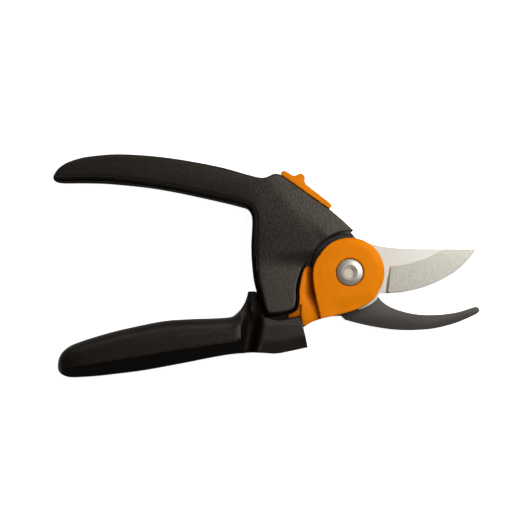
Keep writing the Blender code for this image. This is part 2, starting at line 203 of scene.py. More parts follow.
def relief(name, outline, base, height, depths, spacing=1.6, extra=(), side=1):
    """A plate whose upper face follows height(x, y, depth, place); side -1 turns it over."""
    outline = np.array(outline, float)
    # Rings of points at each depth, without those that would cross the ring from another side.
    rings = []
    for depth in depths:
        ring = inset(outline, depth)
        d, _ = nearest(outline, ring)
        wanted = np.broadcast_to(depth, len(ring))
        rings.append(ring[(d > 0.96 * wanted) & (d > 0.05) & inside(outline, ring)])
    # A grid of points inside the deepest ring.
    deepest = max(np.max(depth) for depth in depths)
    low, high = outline[:, :2].min(0), outline[:, :2].max(0)
    xs = np.arange(low[0], high[0], spacing)
    ys = np.arange(low[1], high[1], spacing * 0.866)
    grid = np.array([(x + (0.5 * spacing if j % 2 else 0), y) for j, y in enumerate(ys) for x in xs])
    grid = grid[inside(outline, grid)]
    d, _ = nearest(outline, grid)
    rings.append(grid[d > deepest + 0.35 * spacing])
    rings += [np.array(ring, float)[:, :2] for ring in extra]
    # Triangles over all of them make the upper face.
    inner = np.vstack(rings)
    flat = np.vstack([outline[:, :2], inner])
    edges = [(i, (i + 1) % len(outline)) for i in range(len(outline))]
    found = delaunay_2d_cdt([Vector(p) for p in flat], edges, [], 1, 1e-4)
    verts = np.array([tuple(v) for v in found[0]])
    d, place = nearest(outline, verts)
    top = height(verts[:, 0], verts[:, 1], d, place)
    points = [(x, y, MIDDLE + side * (z - MIDDLE)) for (x, y), z in zip(verts, top)]
    faces = [tuple(face) for face in found[2]]
    # The side wall goes down from the face's rim to the flat base.
    rim = {}
    for index, sources in enumerate(found[3]):
        for source in sources:
            if source < len(outline):
                rim[source] = index
    start = len(points)
    points += [(p[0], p[1], MIDDLE + side * (base - MIDDLE)) for p in outline]
    size = len(outline)
    for i in range(size):
        j = (i + 1) % size
        faces.append((start + i, start + j, rim[j], rim[i]))
    faces.append(tuple(start + i for i in range(size))[::-1])
    return mesh_object(name, points, faces)


def combine(target, others, operation):
    """Applies the target's modifiers and a boolean with each of the others, which it uses up."""
    for other in others:
        change = target.modifiers.new("cut", "BOOLEAN")
        change.operation = operation
        change.object = other
        change.solver = "EXACT"
    graph = bpy.context.evaluated_depsgraph_get()
    mesh = bpy.data.meshes.new_from_object(target.evaluated_get(graph))
    target.modifiers.clear()
    old = target.data
    target.data = mesh
    bpy.data.meshes.remove(old)
    for other in others:
        bpy.data.objects.remove(other)


def polish(obj, angle=32, bevel=0.0):
    """Rounds the sharp edges a little when given a bevel, and shades the rest smooth."""
    if bevel:
        change = obj.modifiers.new("edges", "BEVEL")
        change.width = bevel * MM
        change.segments = 2
        change.limit_method = "ANGLE"
        change.angle_limit = math.radians(35)
        combine(obj, [], "UNION")
    obj.data.shade_smooth()
    obj.data.set_sharp_from_angle(angle=math.radians(angle))


# ---------------------------------------------------------------- materials
def material(name, colour, metallic=0.0, roughness=0.5, specular=0.5):
    made = bpy.data.materials.new(name)
    made.use_nodes = True
    shader = made.node_tree.nodes["Principled BSDF"]
    shader.inputs["Base Color"].default_value = (*colour, 1)
    shader.inputs["Metallic"].default_value = metallic
    shader.inputs["Roughness"].default_value = roughness
    shader.inputs["Specular IOR Level"].default_value = specular
    return made, made.node_tree, shader


def node(tree, kind, **values):
    """A new node with its properties, or else its input values, set by name."""
    made = tree.nodes.new(kind)
    for key, value in values.items():
        if hasattr(made, key):
            setattr(made, key, value)
        else:
            made.inputs[key.replace("_", " ")].default_value = value
    return made


def noise(tree, scale, detail=2.0, roughness=0.5, stretch=(1, 1, 1), turn=0.0):
    place = node(tree, "ShaderNodeTexCoord")
    mapping = node(tree, "ShaderNodeMapping")
    mapping.inputs["Scale"].default_value = stretch
    mapping.inputs["Rotation"].default_value = (0, 0, turn)
    tree.links.new(place.outputs["Object"], mapping.inputs["Vector"])
    made = node(tree, "ShaderNodeTexNoise", Scale=scale, Detail=detail, Roughness=roughness)
    tree.links.new(mapping.outputs["Vector"], made.inputs["Vector"])
    return made.outputs["Fac"]


def mapped(tree, source, low, high, to_low, to_high):
    made = node(tree, "ShaderNodeMapRange")
    for key, value in (("From Min", low), ("From Max", high), ("To Min", to_low), ("To Max", to_high)):
        made.inputs[key].default_value = value
    tree.links.new(source, made.inputs["Value"])
    return made.outputs["Result"]


def mixed(tree, factor, first, second):
    made = node(tree, "ShaderNodeMix", data_type="RGBA")
    tree.links.new(factor, made.inputs["Factor"])
    for socket, colour in ((made.inputs[6], first), (made.inputs[7], second)):
        if isinstance(colour, tuple):
            socket.default_value = (*colour, 1)
        else:
            tree.links.new(colour, socket)
    return made.outputs[2]


def bumped(tree, shader, source, strength, distance):
    made = node(tree, "ShaderNodeBump", Strength=strength, Distance=distance)
    tree.links.new(source, made.inputs["Height"])
    tree.links.new(made.outputs["Normal"], shader.inputs["Normal"])


def mottled(tree, source, first, second):
    """A colour that wanders between two tones."""
    return mixed(tree, mapped(tree, source, 0.35, 0.65, 0, 1), first, second)


def uneven(tree, shader, source, roughness):
    """A roughness that wanders a little about the one given."""
    wander = mapped(tree, source, 0.3, 0.7, roughness - 0.06, roughness + 0.08)
    tree.links.new(wander, shader.inputs["Roughness"])


WARM_SHEEN = (1, 0.93, 0.85, 1)


def grained_plastic(name, dark, light, roughness, grain, bump, specular):
    made, tree, shader = material(name, dark, 0, roughness, specular)
    shader.inputs["Specular Tint"].default_value = WARM_SHEEN
    fine = noise(tree, grain, 2, 0.6)
    broad = noise(tree, 60, 3, 0.5)
    tree.links.new(mottled(tree, broad, dark, light), shader.inputs["Base Color"])
    uneven(tree, shader, fine, roughness)
    bumped(tree, shader, fine, bump, 0.00016)
    return made


def object_axis(tree, axis):
    place = node(tree, "ShaderNodeTexCoord")
    split = node(tree, "ShaderNodeSeparateXYZ")
    tree.links.new(place.outputs["Object"], split.inputs["Vector"])
    return split.outputs[axis]


def math_node(tree, operation, *values):
    made = node(tree, "ShaderNodeMath", operation=operation)
    for socket, value in zip(made.inputs, values):
        if isinstance(value, float):
            socket.default_value = value
        else:
            tree.links.new(value, socket)
    return made.outputs[0]


def off_middle(tree):
    """The distance from the tool's middle plane, in metres."""
    return math_node(tree, "ABSOLUTE", math_node(tree, "SUBTRACT", object_axis(tree, "Z"), MIDDLE * MM))


NYLON_DARK, NYLON_LIGHT = (0.0055, 0.0046, 0.0038), (0.009, 0.0076, 0.0063)
NYLON = grained_plastic("black_nylon", NYLON_DARK, NYLON_LIGHT, 0.44, 1150, 0.8, 0.56)
# A darker, less glossy copy of the nylon is painted shade on the step's sloping wall, the lip under the
# body's end and part of the block's recess.
STEP_SHADE_DARK, STEP_SHADE_LIGHT = (0.002, 0.0017, 0.0014), (0.003, 0.0025, 0.002)
NYLON_STEP_SHADE = grained_plastic("black_nylon_step_shade", STEP_SHADE_DARK, STEP_SHADE_LIGHT, 0.5, 1500, 0.3, 0.08)
BLOCK = grained_plastic("black_nylon_block", NYLON_DARK, NYLON_LIGHT, 0.42, 1500, 0.5, 0.64)
# Darker, less glossy copies of the block's nylon are painted shade: full in the recess and the groove, half
# along the groove's border.
BLOCK_SHADE_DARK, BLOCK_SHADE_LIGHT = (0.004, 0.0035, 0.003), (0.007, 0.006, 0.005)
BLOCK_HALF_SHADE = grained_plastic("black_nylon_half_shade", BLOCK_SHADE_DARK, BLOCK_SHADE_LIGHT, 0.42, 1500, 0.4, 0.3)
BLOCK_SHADE = grained_plastic("black_nylon_shade", BLOCK_SHADE_DARK, BLOCK_SHADE_LIGHT, 0.42, 1500, 0.4, 0.12)
GRIP_DARK, GRIP_LIGHT = (0.0035, 0.003, 0.0025), (0.0095, 0.0077, 0.0065)
GRIP = grained_plastic("soft_grip", GRIP_DARK, GRIP_LIGHT, 0.38, 1150, 1.2, 0.55)
# A darker, duller copy of the grip is painted shade on the facets below its lower crease.
GRIP_UNDER_SHADE = grained_plastic("soft_grip_under_shade", GRIP_DARK, GRIP_DARK, 0.5, 1300, 0.6, 0.15)


def orange_plastic(name, shade_deep_parts=False):
    """Orange plastic, with painted shade that darkens it near the middle plane when asked for."""
    made, tree, shader = material(name, (0.86, 0.24, 0.002), 0, 0.5, 0.06)
    tone = mottled(tree, noise(tree, 90, 3, 0.5), (0.84, 0.235, 0.001), (0.9, 0.26, 0.002))
    if shade_deep_parts:
        # Painted shade: the surfaces that lie deep, near the middle plane, turn dark brown.
        deep_shade = mapped(tree, off_middle(tree), 0.0035, 0.0055, 1, 0)
        tone = mixed(tree, deep_shade, tone, (0.34, 0.075, 0.0))
    tree.links.new(tone, shader.inputs["Base Color"])
    bumped(tree, shader, noise(tree, 1200, 2, 0.5), 0.12, 0.0001)
    return made


ORANGE = orange_plastic("orange_plastic")
# The covers' orange carries painted shade on its deep parts, such as the channel beside the boss.
ORANGE_COVER_SHADED = orange_plastic("orange_cover_shaded", True)


def steel(name, colour, roughness, scale, bump, metallic=1):
    made, tree, shader = material(name, colour, metallic, roughness)
    spots = noise(tree, scale, 4, 0.6)
    uneven(tree, shader, spots, roughness)
    bumped(tree, shader, spots, bump, 0.00004)
    return made


BRIGHT_STEEL = (0.7, 0.715, 0.7)


def blade_steel():
    """Bright steel with fine lines along the blade, and painted shade darkening the upper part of the tang.
    """
    roughness = 0.4
    made, tree, shader = material("blade_steel", BRIGHT_STEEL, 0.3, roughness)
    # Painted shade: the tang goes dark past a slanted line, where it runs in under the body.
    along = math_node(tree, "MULTIPLY_ADD", object_axis(tree, "Y"), -0.9, object_axis(tree, "X"))
    dark = mapped(tree, along, 0.0285, 0.0345, 1, 0)
    tree.links.new(mixed(tree, dark, BRIGHT_STEEL, (0.015, 0.015, 0.018)), shader.inputs["Base Color"])
    lines = noise(tree, 300, 4, 0.6, (1, 14, 1), 0.1)
    uneven(tree, shader, lines, roughness)
    bumped(tree, shader, lines, 0.25, 0.00004)
    return made


BLADE = blade_steel()
PLAIN = steel("plain_steel", (0.5, 0.49, 0.47), 0.35, 400, 0.1)
SOCKET = steel("hex_socket_steel", (0.62, 0.58, 0.5), 0.5, 300, 0.1)
ZINC = steel("zinc_bolt", (0.51, 0.505, 0.48), 0.42, 300, 0.15, 0.7)


def ground_face():
    made, tree, shader = material("ground_bevel", (0.6, 0.59, 0.54), 0.4, 0.55)
    fine = noise(tree, 900, 3, 0.7)
    tone = mottled(tree, fine, (0.63, 0.64, 0.6), (0.76, 0.77, 0.73))
    tree.links.new(tone, shader.inputs["Base Color"])
    bumped(tree, shader, fine, 0.3, 0.00008)
    return made


def dark_coating():
    made, tree, shader = material("dark_coating", (0.052, 0.05, 0.049), 0.15, 0.5, 0.4)
    fine = noise(tree, 1300, 2, 0.6)
    tone = mottled(tree, fine, (0.046, 0.044, 0.043), (0.06, 0.058, 0.057))
    tree.links.new(tone, shader.inputs["Base Color"])
    bumped(tree, shader, fine, 0.3, 0.0001)
    return made


BEVEL = ground_face()
# Dark steel as painted shade on the short line where the grinding stops.
BEVEL_END_SHADE = steel("bevel_end_shade", (0.2, 0.19, 0.17), 0.6, 400, 0.1, 0.2)
COATING = dark_coating()


def dress(obj, look, *others):
    obj.data.materials.clear()
    obj.data.materials.append(look)
    for other in others:
        obj.data.materials.append(other)


def dress_faces(obj, looks, choose):
    """Each face gets looks[choose(centre, normal)], the centre given in millimetres."""
    dress(obj, *looks)
    for face in obj.data.polygons:
        face.material_index = choose(face.center / MM, face.normal)


# ---------------------------------------------------------------- upper handle
# Anticlockwise from the body's right corner. Each point also says how wide the moulded step along the edge
# is there.
run = [(41.8, 17.1, 0), (36.4, 22.1, 0), (30.3, 27.3, 0), (18.5, 35.5, 0), (7, 43.7, 0), (5.8, 44.1, 0)]
run += smooth([(4, 44.2, 0), (-1.6, 42.2, 0), (-9, 43.8, 0), (-20, 46.9, 0), (-32, 49.4, 0),
               (-46, 51.7, 0), (-60, 53.1, 0), (-73, 53.5, 0), (-85, 52.4, 0), (-90.5, 51.2, 0),
               (-96, 49.1, 0), (-100.6, 45.6, 0.8), (-102.2, 42.7, 2.2), (-101.2, 40.6, 2.8),
               (-97.5, 39.7, 3.2), (-88, 39.7, 3.6), (-78, 39.5, 3.7), (-68, 38.7, 3.5),
               (-56, 37.4, 3.3), (-44, 35.4, 3.2), (-32, 32.9, 3.1), (-20, 30.2, 3.2),
               (-12.5, 28.3, 3.2), (-8.6, 26.9, 3), (-6.8, 23.6, 2.4), (-6.7, 18, 2.3),
               (-7.1, 10, 2.6), (-6.8, 2, 2.5), (-5.9, -6.5, 2.2), (-4.5, -12.5, 2.3),
               (-3.3, -17.3, 2.2), (-1.8, -21.5, 1.9), (-0.3, -23.4, 1.6), (1.6, -24.2, 1.3)])[:-1]
run += smooth([(1.6, -24.2, 1.3), (5, -24, 1.2), (9.4, -23.2, 1.1), (13, -22.3, 1.2), (14.9, -21, 1.3),
               (15.8, -18.8, 1.4), (16.2, -15, 1.4), (16.2, -11, 1.4), (17.5, -4, 1.1), (19.8, 2.6, 0.3)])
run += [(*point, 0) for point in arc(HUB, 19.6, 152, 92, 30)] + [(41, 16.2, 0)]
handle = resample(run, 0.7)
step = blurred(handle[:, 2], 6)
# The step's lip takes LIP of its width, and its sloping wall ends at WALL of it.
LIP, WALL = 0.35, 0.9

# How far the body's face dips along Y: a low flat zone, the valley above it, then level.
valley_line = np.array(smooth([(-40, 0), (-26, 0.1), (-12, 0.5), (1.8, 0.95), (4.5, 1), (9, 0.88),
                               (14, 0.6), (20, 0.25), (27, 0), (40, 0)]))


def shell_height(x, y, d, place):
    """Crowned on the arm and dipped on the body, with the moulded step where its band is wide enough."""
    band = np.interp(place, np.arange(len(step) + 1), np.append(step, step[0]))
    # The face falls away gently past a line along the body's slanted upper edge.
    corner = ((x - 4.8) * 22.6 + (y - 37.0) * 18.2) / math.hypot(22.6, 18.2)
    top = 20.5 - 0.1 * np.log1p(np.exp(np.clip(corner / 0.8, -30, 30))) * 0.8
    dip = np.interp(y, valley_line[:, 0], valley_line[:, 1]) + 0.075 * (x + 6) * ramp(y, 8, -1)
    top = top - dip * ramp(x, -22, -6) * (1 - ramp(corner, 0, 6))
    # The arm is crowned across its width.
    arm = ramp(x, 0, -18)
    centre = 46.8 - 0.0016 * (x + 72) ** 2
    top = top - arm * 0.022 * np.clip(np.abs(y - centre) - 0.5, 0, 9) ** 1.7
    plain = top - rounded(d, 0.8 + 1.4 * arm)
    # The step's lip stands higher around the handle pin, over the fork cut into the body there.
    lip, wall = LIP * band, WALL * band
    low = 13.1 + 4.3 * np.clip((25 - np.hypot(x - PIN[0], y - PIN[1])) / 2.5, 0, 1)
    shelf = low - rounded(d, 0.4)
    slope = low + (18.7 - low) * np.clip((d - lip) / np.maximum(wall - lip, 0.05), 0, 1)
    stepped = np.where(d < lip, shelf, np.where(d < wall, slope, top - rounded(d - wall, 1.3)))
    share = ramp(band, 0.3, 1.3)
    return share * stepped + (1 - share) * plain


# How far in from the edge the mesh has its rings of points.
depths = [0.12, 0.3, 0.6, 1.0, 1.5, 2.1, 2.8]
depths += [LIP * step, LIP * step + 0.12, 0.6 * step, WALL * step - 0.05]
depths += [WALL * step + add for add in (0.12, 0.35, 0.7, 1.1, 1.6, 2.3)]
# The lock bar's two long sides at rest, and the direction in which the lock slides.
bar_low = np.array([(0.1, -1.63), (-0.44, 2.43), (3, 8), (7.6, 16), (18.2, 39)])
bar_high = np.array([(14.6, 40.6), (3, 17), (-2.6, 7), (-4.15, 1.44), (-2.58, -2.35)])
SLIDE = np.array((0.816, -0.578))
LOCK_TRAVEL, LOCK_PLAY = 6, 0.4
channel = [*(bar_low + SLIDE * (LOCK_TRAVEL + LOCK_PLAY)), (24.5, 39), (12, 46)]
channel += [*(bar_high - LOCK_PLAY * SLIDE)]
# Room for the handle gear, then the slider's rail and the groove that it slides in.
gear_room = [turned(150, 10, PIN), *arc(PIN, 18.6, -45, 50, 20), (15.2, 0), (18, 8), (23.5, 12.2),
             (23.2, 18.8), (13, 22.3), (5, 27.3), (-3.2, 27), (-4.8, 21), (-4.8, 8), (-0.8, 2)]
rail = [(7.8, 41.7), (28.2, 27.3), (30.2, 30.1), (9.8, 44.5)]
groove = [(7.3, 41.7), (33.7, 23.1), (39, 30.6), (12.6, 49.2)]
# The shells stop just short of the middle plane, so that their parting line shows.
PARTING = 11.03
front_shell = relief("upper_handle_front", handle, PARTING, shell_height, depths)
rear_shell = relief("upper_handle_rear", handle, PARTING, shell_height, depths, side=-1)
combine(front_shell, [
    disc("fork_a", PIN, FORK_AT_PIN, 9, 16.8),
    disc("fork_b", HUB, FORK_AT_HUB, 9, 16.8),
    prism("gear_room", gear_room, 9, 14.3),
    prism("groove_front", groove, 9, 15.8),
    disc("pin_room", PIN, PIN_EYE, 9, 18.2),
], "DIFFERENCE")
combine(rear_shell, [
    disc("fork_c", PIN, FORK_AT_PIN, 5.2, 13),
    disc("fork_d", HUB, FORK_AT_HUB, 5.2, 13),
    prism("channel", inset(channel, -0.3), 7.6, 13),
    prism("groove_rear", groove, 6.2, 13),
    disc("pin_hole", PIN, PIN_EYE, 3.8, 13),
    *[disc(f"seat_{i}", place, 2.9, 0, 4.3, 48) for i, place in enumerate(SHELL_SCREWS)],
    *[disc(f"way_{i}", place, 1.7, 2, 13, 24) for i, place in enumerate(SHELL_SCREWS)],
], "DIFFERENCE")


def shaded_step_faces(centre, normal):
    """The faces that get painted shade: the sloping wall between the outer lip and the face, and the raised
    lip under the body's end.
    """
    off = abs(centre.z - MIDDLE)
    raised_lip = 5.9 < off < 6.45 and centre.y < 12
    return int(2.25 < off < 7.65 and 0.1 < abs(normal.z) < 0.8 or raised_lip)


for obj, name in ((front_shell, "handle_front_shell"), (rear_shell, "handle_rear_shell")):
    polish(obj, 30)
    dress_faces(obj, (NYLON, NYLON_STEP_SHADE), shaded_step_faces)
    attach(obj, "upper_handle")
    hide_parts(name)

# ---------------------------------------------------------------- lock slider
slider = smooth([(30.5, 27.5), (31.4, 28.6), (31.2, 29.4), (30.2, 30.6)], 5)[:-1]
slider += [(27.6, 32.6), (23.3, 35.9), (19.6, 38.8)]
slider += smooth([(19.1, 39.2), (18.5, 40.6), (18.6, 42.5), (17.8, 43.7), (16.4, 44.4), (14.7, 43.5),
                  (12.9, 43.4), (11, 44.5), (9.6, 45.3), (8.4, 45.6), (7.3, 44.9), (7.15, 43.9)], 5)
slider_body = prism("lock_button", slider, 5, 17)
combine(slider_body, [prism("slider_rail", rail, 6.5, 15.5)], "UNION")
combine(slider_body, [prism("bar_room", inset([*bar_low, *bar_high], -0.12), 7.7, 11)], "DIFFERENCE")
polish(slider_body, 35, 0.45)
dress(slider_body, ORANGE)
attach(slider_body, "lock")
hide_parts("lock_slider")

# ---------------------------------------------------------------- hub covers
# The boss is the cover's raised, drop-shaped part. The flange is the lower plate to its left.
boss = arc(HUB, 16.6, 150, -22, 90)
boss += smooth([(54.1, -11.8), (52.2, -15.1), (48.6, -18.1), (42.9, -21.0), (35.5, -23.2), (30, -24.4),
                (27.2, -25.0)])[1:]
boss += smooth([(26.1, -25.2), (25.1, -21.0), (23.9, -15.4), (22.8, -9.3), (22.4, -4), (22.9, 0.2),
                (24.2, 3.4)])
boss = resample(boss[::-1], 0.6)
BOLT_SEAT = 6.75
CREASE = 13.6


def boss_height(x, y, d, place):
    """A flat top that falls outside the round crease on the right, and along the lower edge."""
    r = np.hypot(x - HUB[0], y - HUB[1])
    low = ramp(-(y + 16.0) + 0.22 * (x - 34), -1.5, 6) * ramp(x, 27, 36)
    lower_left = ramp(-y, -2, 13) * (1 - ramp(x, 36, 48))
    rim = 0.5 * np.clip(r - CREASE, 0, 3.2) * ramp(x - 0.4 * y, 22, 34) * (1 - lower_left)
    top = 19.5 - np.maximum(rim * (1 - low), 1.1 * low)
    z = top - rounded(d, 0.8)
    return z - rounded(r - BOLT_SEAT, 0.45)


# Rings of points that keep the bolt's seat and the crease round.
hole_rings = [arc(HUB, radius, 0, 357, 120) for radius in (6.76, 6.85, 7.0, 7.25, 13.5, 13.7)]
flange = smooth([(24, -1), (20, -0.3), (17.9, -2.2), (16.6, -5.2), (15.1, -10), (13.8, -15.5),
                 (13, -19.5), (10.8, -23.7)], 4)
flange += [(11, -24.9), (16.9, -23.8), (17.9, -28.2), (18.6, -28.6)]
flange += smooth([(21, -27.4), (23.5, -26.3), (26.6, -25.3)], 4) + [(27, -12)]
flange = resample(flange[::-1], 0.5)


def flange_height(x, y, d, place):
    """A lower plate with a shallow channel beside the boss and a tab over the block's corner."""
    away, _ = nearest(boss, np.stack((x, y), axis=1))
    away = np.where(inside(boss, np.stack((x, y), axis=1)), 0, away)
    width = 4.4 + 2.1 * ramp(-y, 5, 15)
    channel = ramp(1 - away / width, 0, 0.7) * ramp(y, -22, -13)
    tab = ramp(17 - x, 0, 0.5) * ramp(-y, 18, 19.5)
    return 16.5 - np.maximum(1.9 * channel, 1.3 * tab) - rounded(d, 0.4)


for side, name in ((1, "front"), (-1, "rear")):
    cover = relief(f"{name}_cover", boss, COVER_BASE, boss_height,
                   [0.12, 0.3, 0.55, 0.85, 1.15, 1.7, 2.4, 3.2], 1.1, hole_rings, side)
    skirt = relief(f"{name}_skirt", flange, COVER_BASE, flange_height, [0.12, 0.3, 0.5, 1], 0.7, (), side)
    combine(cover, [skirt], "UNION")
    rooms = [disc("bore", HUB, 4.35, 0, 22)]
    if side > 0:
        rooms += [disc("seat", HUB, BOLT_SEAT, 17.1, 22, 120), disc("room", HUB, 9.6, 13, 15.1)]
        rooms += [disc("thread", COVER_SCREW, 1.3, 13, 16, 24)]
    else:
        rooms += [disc("seat", HUB, 7.4, 0, 5.0, 120), disc("way", COVER_SCREW, SCREW_WAY, 0, 9, 24)]
        rooms += [disc("head", COVER_SCREW, 2.2, 0, 5.6, 48)]
    combine(cover, rooms, "DIFFERENCE")
    polish(cover, 34)
    dress(cover, ORANGE_COVER_SHADED)
    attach(cover, "lower_frame")
    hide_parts(f"{name}_hub_cover")

# ---------------------------------------------------------------- hub bolt
# The head's profile, as pairs of radius and height, from the rim's foot to the socket.
dome = [(6.1, 17.2), (6.3, 17.5), (6.3, 19.3), (6.2, 19.55), (5.95, 19.7), (5.4, 19.85), (4.7, 20.05),
        (4.0, 20.22), (3.6, 20.28), (3.4, 20.24), (3.2, 20.0), (3.0, 19.7)]
bolt = stack("hub_bolt", [raised(arc(HUB, radius, 0, 357.5, 144), z) for radius, z in dome])
HALF_ACROSS_FLATS = 2.4
hexagon = arc(HUB, HALF_ACROSS_FLATS / math.cos(math.pi / 6), 12, 312, 6)
combine(bolt, [disc("shank", HUB, 4, 1.2, 17.6)], "UNION")
socket = prism("socket", hexagon, 18.2, 22)
dress(socket, SOCKET)
dress(bolt, ZINC, SOCKET)
combine(bolt, [socket], "DIFFERENCE")
polish(bolt, 30)
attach(bolt, "lower_frame")
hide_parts("pivot_bolt")

# ---------------------------------------------------------------- cutting blade
# Anticlockwise: the cutting edge, the back, the round tang with its teeth, and the heel beside the hub cover.
edge = smooth([(57.9, -13.1), (64.5, -12.7), (71, -11.5), (77.5, -9.6), (83.5, -7), (89, -4),
               (93.5, -0.7), (97.5, 3.4), (101, 8)])
outline = edge + [(90, 8.1)]
outline += smooth([(73, 8.2), (64, 8.5), (56, 9.4), (49.5, 10.9), (43.4, 13.2)]) + [(41.4, 15.4)]
outline += arc(HUB, 18.6, 92, 181, 60)


def tooth(centre, teeth, middle, module=2.0, pressure=25.0, play=0.28):
    """One involute gear tooth, pointing along the middle angle."""
    pitch = 0.5 * module * teeth
    base = pitch * math.cos(math.radians(pressure))
    involute = math.tan(math.radians(pressure)) - math.radians(pressure)
    flank = []
    for radius in np.linspace(base, pitch + 0.9 * module, 9):
        lean = math.acos(min(base / radius, 1))
        half = math.pi / (2 * teeth) - play / (2 * pitch) + involute - (math.tan(lean) - lean)
        flank.append((radius, math.degrees(half)))
    flank.insert(0, (pitch - 1.25 * module, flank[0][1] + 0.8))
    points = [turned(middle - half, radius, centre) for radius, half in flank]
    return points + [turned(middle + half, radius, centre) for radius, half in flank[::-1]]


TEETH_IN_A_TURN = 20
for middle in np.arange(191.5, 246, 360 / TEETH_IN_A_TURN):
    outline += tooth(HUB, TEETH_IN_A_TURN, middle)
outline += arc(HUB, 17.5, 255, 280, 16) + arc(HUB, 18.4, 285, 316, 24) + [(54.3, -13.1)]
blade = prism("blade", outline, BLADE_LOW, BLADE_HIGH)
outer = smooth([(57.7, -15), (65, -14.7), (72, -13.4), (78.5, -11.4), (84.7, -8.7), (90.4, -5.6),
                (95.2, -2), (99.4, 2.3), (104, 9)])
inner = smooth([(59.5, -0.2), (63.5, 0.2), (67.5, 0.9), (71.5, 2), (75.5, 3.4), (78.5, 4.7),
                (81.5, 6.1), (84, 7.5), (86, 8.8)])
# What the grinding takes off: from the cutting edge it rises in two slopes to just past the blade's face.
FACE, ABOVE = 14.17, 17.15


def second_slope(a, b):
    """The place between the cutting edge a and the bevel's inner edge b where the slope changes."""
    return 0.82 * a + 0.18 * b


rings = []
for a, b in zip(outer, inner):
    rings.append([(*a, 10.6), (*second_slope(a, b), 11.61), (*b, FACE), (*b, ABOVE), (*a, ABOVE)])
# Its steep near end gets painted shade: a short dark line where the grinding stops.
start_a = outer[0] - (0.6, 0)
start_second = second_slope(outer[0], inner[0]) - (0.6, 0)
start_b = inner[0] - (0.45, -0.1)
rings.insert(0, [(*start_a, 14.1), (*start_second, 14.12), (*start_b, FACE), (*start_b, ABOVE),
                 (*start_a, ABOVE)])
grind = stack("grind", rings)
end_line = 0.5 * (inner[0][0] + start_b[0])


def grind_look(centre, normal):
    """The end line in painted shade, or the ground bevel."""
    return int(centre.x < end_line and abs(normal.z) > 0.05 and centre.z < FACE - 0.01)


dress_faces(grind, (BEVEL, BEVEL_END_SHADE), grind_look)
dress(blade, BLADE, BEVEL, BEVEL_END_SHADE)
combine(blade, [grind, disc("eye", HUB, HUB_EYE, 9, 16)], "DIFFERENCE")
polish(blade, 7)
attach(blade, "blade")
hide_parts("cutting_blade")

# ---------------------------------------------------------------- hook blade
# Clockwise: the hook, the tang that runs into the grip, the part around the handle pin, and the hub's disc.
hook = smooth([(53.6, -14.4), (56.4, -17.5), (60.5, -20.0), (66.3, -22.0), (73, -23.3), (79.5, -23.6),
               (86.4, -23.2), (93, -22.1), (98.5, -20.4), (101.2, -19.7), (102.5, -20.7),
               (101.9, -22.6), (97, -25.1), (90, -27.8), (81, -30), (72, -30.8), (63, -30.7),
               (54.7, -29.7), (46, -28), (38, -25.9)])
hook += [(36, -24), (30, -24.2), (24, -25.6), (18, -29.5), (12, -33.5)]
hook += smooth([(-12, -37.2), (-40, -40.6), (-72, -44.6)])
hook += [(-75, -43.2), (-74.5, -40.2)]
hook += smooth([(-72, -38.9), (-40, -34.6), (-12, -31), (-2.5, -26.5)])
hook += arc(PIN, 9.5, 205, 135, 24)
hook += arc(PIN, 14, 133, 125, 6) + [turned(121, 12.4, PIN), turned(117.5, 11, PIN)]
hook += arc(PIN, 9.5, 113.5, 60, 16)
hook += [(15, -4.5)]
hook += arc(HUB, 22.2, 183, 95, 44) + [(40.7, 17.2), (41.3, 15.3)]
hook += arc(HUB, 16.2, 84, -32, 60)
hook_plate = prism("hook", hook[::-1], HOOK_LOW, HOOK_HIGH)
combine(hook_plate, [
    disc("hub_eye", HUB, HUB_EYE, 5, 12),
    disc("pin_eye", PIN, PIN_EYE, 5, 12),
    disc("screw_eye", COVER_SCREW, SCREW_WAY, 5, 12, 24),
    *[disc(f"tang_eye_{i}", place, TANG_EYE, 5, 12, 24) for i, place in enumerate(TANG_PINS)],
], "DIFFERENCE")
polish(hook_plate, 35, 0.35)
dress(hook_plate, COATING)
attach(hook_plate, "lower_frame")
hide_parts("hook_blade")

# ---------------------------------------------------------------- plain inner pieces
PLAIN_PIECES = ("hub_spacer", "pivot_bushing", "thrust_washer", "handle_pin", "return_spring", "lock_bar",
                "tang_pin_1", "tang_pin_2", "bolt_washer")
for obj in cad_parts.values():
    # The handle gear takes the dark coating as painted shade, so that it doesn't glint from inside the body.
    if obj.name == "handle_gear":
        dress(obj, COATING)
    elif obj.name in PLAIN_PIECES:
        dress(obj, PLAIN)
    elif obj.name.startswith(("shell_screw", "cover_screw", "pivot_nut")):
        dress(obj, ZINC)

# ---------------------------------------------------------------- lower handle: block, hilt and tail
# Anticlockwise: the block's right side and top, the hilt, the side at the grip, and the bottom.
core = [(20, -39), (19, -34), (17.4, -27.6), (16.6, -24.2), (10.6, -25.3), (10.1, -24.4), (5.5, -25.2)]
core += [(-0.6, -24.6), (-3, -21), (-4, -16), (-5.1, -12.2), (-8.6, -12.3)]
core += smooth([(-9.1, -14.6), (-10.3, -17.8), (-12.1, -20.8)], 6)
core += smooth([(-12.1, -42), (-6, -41.5), (0.7, -41.8), (3.8, -42), (7.2, -41.7)], 6)
core = resample(core, 0.5)

# The edge's rounding leaves out the left side, where the grip carries the surface on.
free_edge = core.copy()
free_edge[free_edge[:, 0] < -11.95, 0] -= 5
# Heights from left to right: along the block, with the groove beside the grip, and along the hilt.
groove_line = np.array(smooth([(-13, 19.4), (-12, 18.8), (-10.6, 17.2), (-9, 15.8), (-7, 15.5), (-5.4, 16.4),
                               (-4, 18.2), (-2.8, 19.5), (-1.4, 20), (1.5, 20)]))
hilt_line = np.array(smooth([(-13, 18.8), (-11, 18), (-9.3, 17.2), (-8.4, 16.2), (-7.8, 16.9), (-7.1, 17.3),
                             (-6, 16.9), (-5, 16.4), (1.5, 16.4)]))
